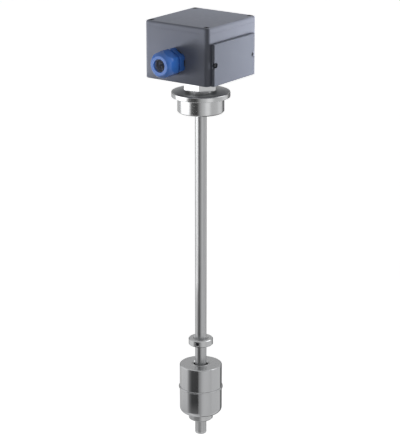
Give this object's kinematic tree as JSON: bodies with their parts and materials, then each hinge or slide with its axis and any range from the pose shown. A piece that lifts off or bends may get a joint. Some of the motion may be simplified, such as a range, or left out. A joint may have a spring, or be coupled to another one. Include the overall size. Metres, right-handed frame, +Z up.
{
  "type": "magnetic immersion probe",
  "caption": "Level probe with a screw-in plug, a terminal housing with cable gland, a long guide tube and a magnet float that slides between clamped stop collars.",
  "frame": {"origin": "on the guide tube's axis, in the sealing face under the process plug's disc, where the threaded spigot starts", "axes": "+Z up along the tube towards the terminal housing, -Z along the spigot and tube into the tank, -Y out of the face with the cable gland, +X out of the face with the side plate"},
  "size_m": [0.0812, 0.1099, 0.4489],
  "materials": {
    "polished_steel": "polished stainless steel",
    "housing_paint": "smooth grey powder coat",
    "plate_paint": "smooth light grey coat",
    "blue_polyamide": "moulded, semi-matt",
    "white_polymer": "moulded",
    "grey_polymer": "moulded",
    "black_rubber": "matt",
    "grey_rubber": "matt",
    "nickel_brass": "nickel-plated",
    "bare_brass": "machined",
    "dark_steel": "blackened",
    "zinc_steel": "zinc-plated",
    "spring_steel": "bright",
    "ferrite": "ground",
    "board_laminate": "solder-masked laminate",
    "contact_glass": "clear green glass",
    "brown_sleeve": "extruded",
    "white_sleeve": "extruded",
    "green_sleeve": "extruded"
  },
  "bodies": {
    "probe": {"process_plug": "polished_steel", "housing_adapter": "polished_steel", "adapter_sealing_ring": "black_rubber", "adapter_lock_nut": "nickel_brass", "guide_tube": "polished_steel", "tube_end_plug": "polished_steel", "upper_stop_collar": "polished_steel", "upper_set_screw": "dark_steel", "lower_stop_collar": "polished_steel", "lower_set_screw": "dark_steel", "contact_board": "board_laminate", "reed_contacts": "contact_glass", "housing_body": "housing_paint", "housing_lid": "housing_paint", "lid_gasket": "black_rubber", "lid_screws": "dark_steel", "side_plate": "plate_paint", "side_plate_pins": "dark_steel", "gland_body": "blue_polyamide", "gland_seal": "grey_rubber", "gland_sealing_ring": "black_rubber", "gland_lock_nut": "nickel_brass", "terminal_block": "white_polymer", "terminal_contacts": "bare_brass", "clamp_screws": "zinc_steel", "terminal_block_screws": "zinc_steel", "earth_screw": "zinc_steel", "earth_washer": "zinc_steel", "lead_brown": "brown_sleeve", "lead_white": "white_sleeve", "lead_green": "green_sleeve"},
    "float": {"float_upper_shell": "polished_steel", "float_lower_shell": "polished_steel", "float_core_tube": "polished_steel", "float_magnet": "ferrite", "magnet_clips": "spring_steel"},
    "pressure_ring": {"gland_pressure_ring": "grey_polymer"},
    "cap_nut": {"gland_cap_nut": "blue_polyamide"}
  },
  "joints": [
    {"name": "float_slide", "type": "slide", "parent": "probe", "child": "float", "axis": [0, 0, 1], "range_m": [0, 0.021]},
    {"name": "pressure_ring_slide", "type": "slide", "parent": "probe", "child": "pressure_ring", "axis": [0, 1, 0], "range_m": [0, 0.0023]},
    {"name": "cap_nut_turn", "type": "hinge", "parent": "pressure_ring", "child": "cap_nut", "pos_m": [-0.0011, -0.062, 0.0432], "axis": [0, 1, 0], "range_deg": [0, 540]}
  ],
  "couplings": [
    {"joint": "pressure_ring_slide", "follows": "cap_nut_turn", "m_per_rad": 0.00023873}
  ]
}
